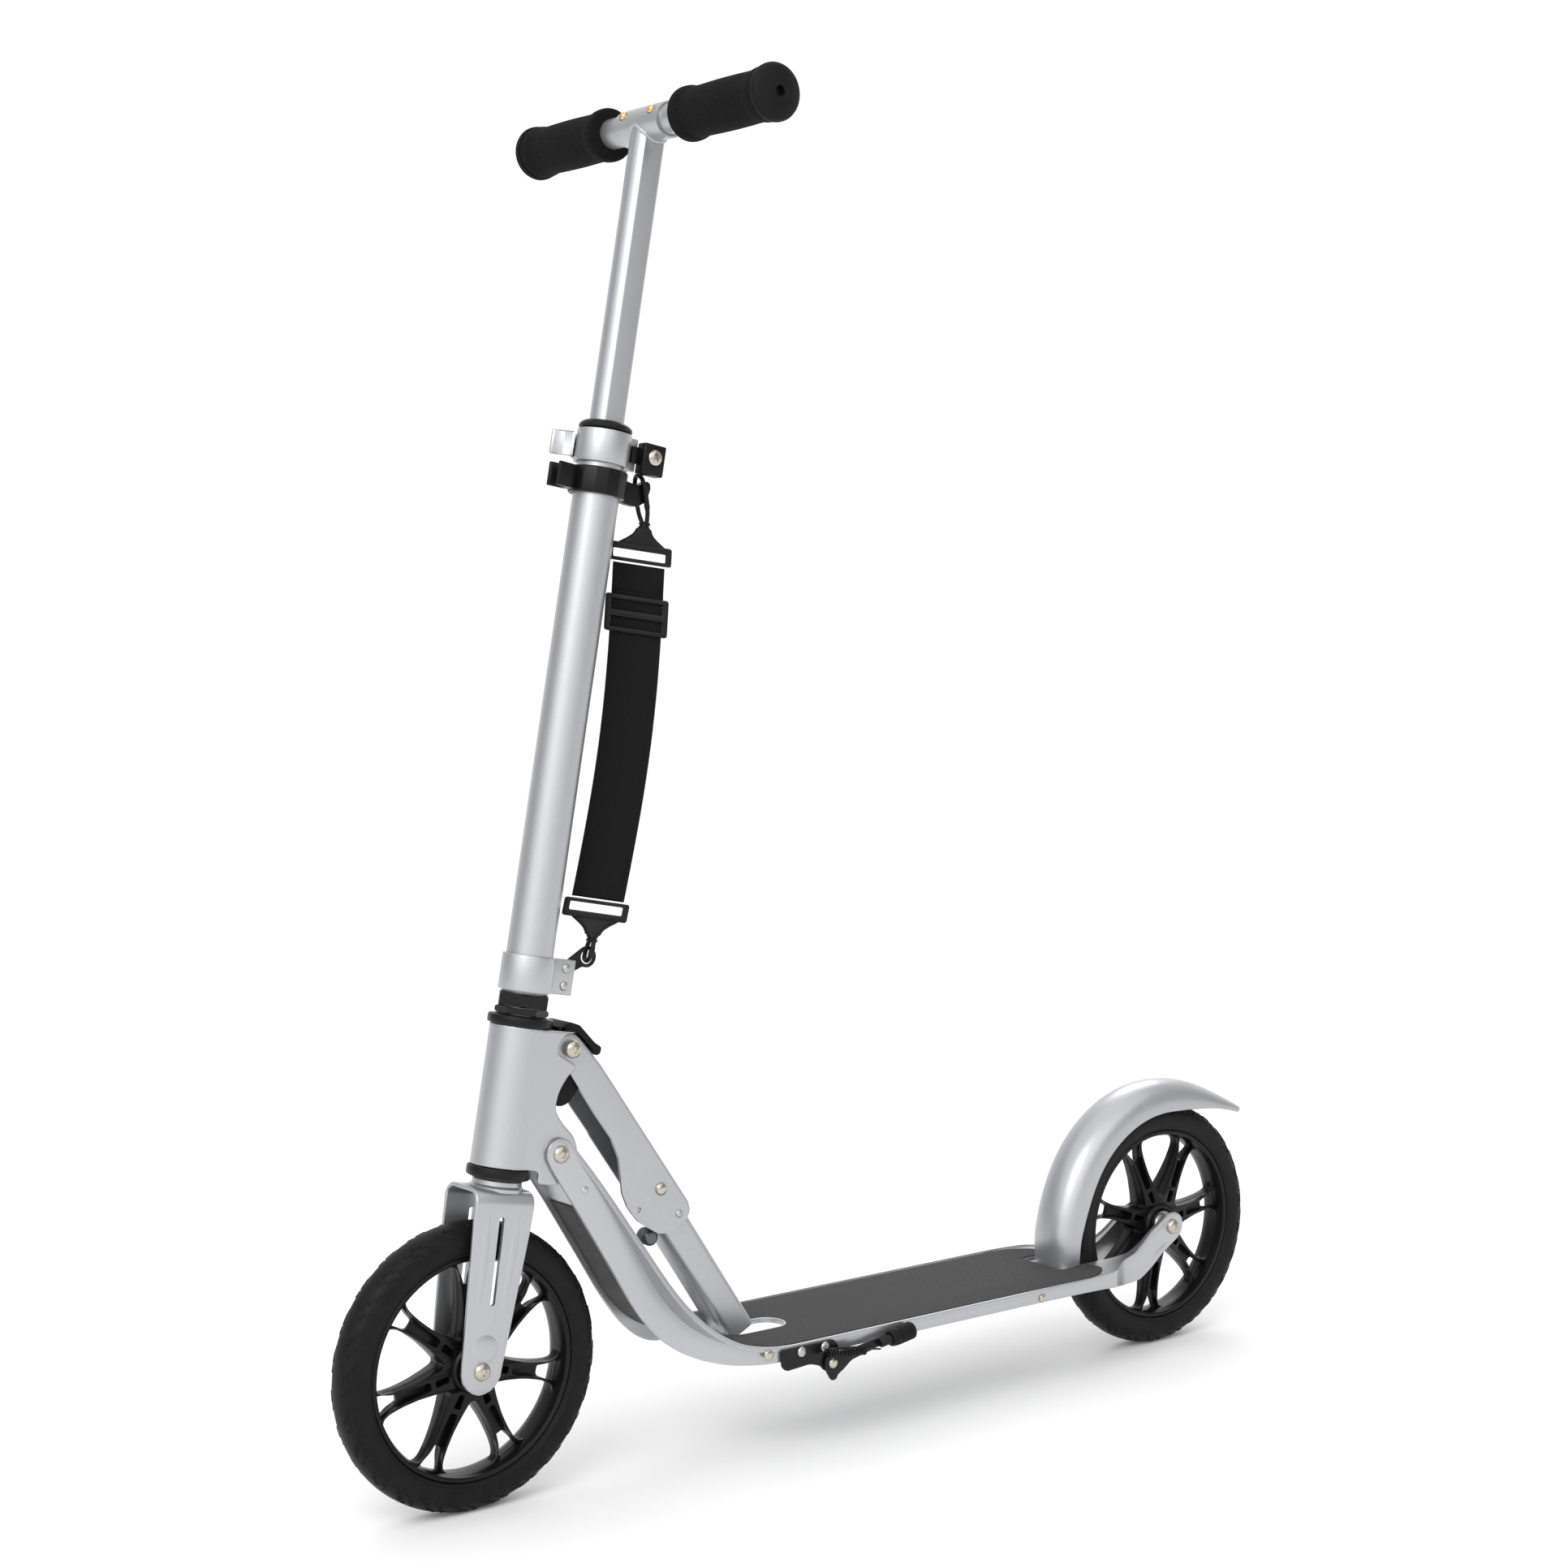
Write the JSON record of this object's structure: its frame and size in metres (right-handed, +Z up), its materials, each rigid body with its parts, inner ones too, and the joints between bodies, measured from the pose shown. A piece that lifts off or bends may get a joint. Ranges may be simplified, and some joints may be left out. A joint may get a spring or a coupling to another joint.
{
  "type": "kick scooter",
  "caption": "Folding kick scooter with large wheels, sheet alloy deck, height-adjustable T bar, rear fender brake, side stand and carry strap.",
  "frame": {"origin": "on the ground under the middle of the wheelbase, in the scooter's mid plane", "axes": "+X forward, +Y to the rider's left, +Z up"},
  "size_m": [0.882, 0.3112, 0.9972],
  "materials": {
    "silver_alloy": "satin anodised",
    "bright_steel": "polished",
    "zinc_steel": "zinc plated",
    "tyre": "moulded",
    "wheel_plastic": "fine texture",
    "black_plastic": "satin",
    "grip_sheet": "gritty",
    "foam": "matt foam",
    "black_rubber": "matt",
    "black_steel": "semi-gloss",
    "webbing": "woven",
    "brass": "polished"
  },
  "bodies": {
    "deck": {"deck_frame": "silver_alloy", "deck_grip": "grip_sheet", "strut_foot_rod": "bright_steel", "brake_pivot_rod": "bright_steel", "neck_bolt": "bright_steel", "neck_stop_pin": "zinc_steel", "rear_axle_bolt": "bright_steel", "stand_bracket": "black_steel", "stand_bolt_1": "zinc_steel", "stand_bolt_2": "zinc_steel", "stand_pivot": "bright_steel"},
    "head": {"head_tube": "silver_alloy", "upper_strut_bolt": "bright_steel", "upper_cup": "black_plastic", "lower_cup": "black_plastic", "fold_cover": "black_plastic"},
    "steering": {"fork": "silver_alloy", "steerer_tube": "zinc_steel", "headset_locknut": "black_plastic", "headset_nut": "black_plastic", "stem_tube": "silver_alloy", "stem_collar": "silver_alloy", "strap_eye": "black_steel", "collar_screw": "zinc_steel", "height_bush": "black_plastic", "clamp_ring": "silver_alloy", "clamp_nut_block": "black_plastic", "clamp_screw": "bright_steel", "lever_pin": "zinc_steel", "strap_ring": "black_plastic", "strap_webbing": "webbing", "strap_slider": "black_plastic", "strap_hook_upper": "black_plastic", "strap_hook_lower": "black_plastic", "front_axle_bolt": "bright_steel"},
    "front_wheel": {"front_tyre": "tyre", "front_rim": "wheel_plastic", "front_bearing_core": "zinc_steel"},
    "rear_wheel": {"rear_tyre": "tyre", "rear_rim": "wheel_plastic", "rear_bearing_core": "zinc_steel"},
    "bar": {"t_bar": "silver_alloy"},
    "left_handle": {"handle_tube_left": "silver_alloy", "grip_left": "foam", "end_cap_left": "black_rubber"},
    "right_handle": {"handle_tube_right": "silver_alloy", "grip_right": "foam", "end_cap_right": "black_rubber"},
    "left_button": {"snap_button_left": "brass"},
    "right_button": {"snap_button_right": "brass"},
    "lever": {"clamp_lever": "silver_alloy"},
    "strut_upper": {"strut_bracket": "silver_alloy", "knee_rivet": "bright_steel", "catch_pin": "zinc_steel"},
    "strut_lower": {"strut_tube": "silver_alloy"},
    "release": {"fold_release": "black_steel"},
    "fender": {"brake_fender": "silver_alloy"},
    "stand": {"stand_leg": "black_steel", "stand_foot": "black_rubber", "stand_spring": "black_steel"}
  },
  "joints": [
    {"name": "fold", "type": "hinge", "parent": "deck", "child": "head", "pos_m": [0.27165, 0, 0.24688], "axis": [0, -1, 0], "range_deg": [0, 66]},
    {"name": "steer", "type": "hinge", "parent": "head", "child": "steering", "pos_m": [0.33477, 0, 0.10179], "axis": [-0.1862, 0, 0.9825], "continuous": true},
    {"name": "front_spin", "type": "hinge", "parent": "steering", "child": "front_wheel", "pos_m": [0.3385, 0, 0.1025], "axis": [0, 1, 0], "continuous": true},
    {"name": "rear_spin", "type": "hinge", "parent": "deck", "child": "rear_wheel", "pos_m": [-0.3385, 0, 0.1025], "axis": [0, 1, 0], "continuous": true},
    {"name": "bar_height", "type": "slide", "parent": "steering", "child": "bar", "axis": [-0.1862, 0, 0.9825], "range_m": [-0.2, 0.035]},
    {"name": "left_handle_out", "type": "slide", "parent": "bar", "child": "left_handle", "axis": [0, 1, 0], "range_m": [0, 0.03]},
    {"name": "right_handle_out", "type": "slide", "parent": "bar", "child": "right_handle", "axis": [0, -1, 0], "range_m": [0, 0.03]},
    {"name": "left_button_press", "type": "slide", "parent": "bar", "child": "left_button", "axis": [-0.8218, 0, -0.5697], "range_m": [0, 0.003], "stiffness_N_per_m": 300, "springref_m": -0.003},
    {"name": "right_button_press", "type": "slide", "parent": "bar", "child": "right_button", "axis": [-0.8218, 0, -0.5697], "range_m": [0, 0.003], "stiffness_N_per_m": 300, "springref_m": -0.003},
    {"name": "lever_open", "type": "hinge", "parent": "steering", "child": "lever", "pos_m": [0.19146, -0.015, 0.74094], "axis": [0.1862, 0, -0.9825], "range_deg": [0, 105]},
    {"name": "strut_upper_turn", "type": "hinge", "parent": "head", "child": "strut_upper", "pos_m": [0.25793, 0, 0.3198], "axis": [0, -1, 0], "range_deg": [-100.7, 0]},
    {"name": "strut_lower_turn", "type": "hinge", "parent": "deck", "child": "strut_lower", "pos_m": [0.119, 0, 0.083], "axis": [0, -1, 0], "range_deg": [0, 45.8]},
    {"name": "release_pull", "type": "slide", "parent": "strut_lower", "child": "release", "axis": [-0.5481, 0, -0.8364], "range_m": [0, 0.006], "stiffness_N_per_m": 300, "springref_m": -0.004},
    {"name": "brake_press", "type": "hinge", "parent": "deck", "child": "fender", "pos_m": [-0.1545, 0, 0.0792], "axis": [0, -1, 0], "range_deg": [0, 3.9], "stiffness_Nm_per_rad": 6, "springref_deg": -11.46},
    {"name": "stand_swing", "type": "hinge", "parent": "deck", "child": "stand", "pos_m": [0.063, 0.0655, 0.0682], "axis": [0, -1, 0], "range_deg": [0, 64]}
  ],
  "couplings": [
    {"joint": "strut_upper_turn", "follows": "fold", "ratio": -1.5236},
    {"joint": "strut_lower_turn", "follows": "fold", "ratio": 0.6924}
  ]
}
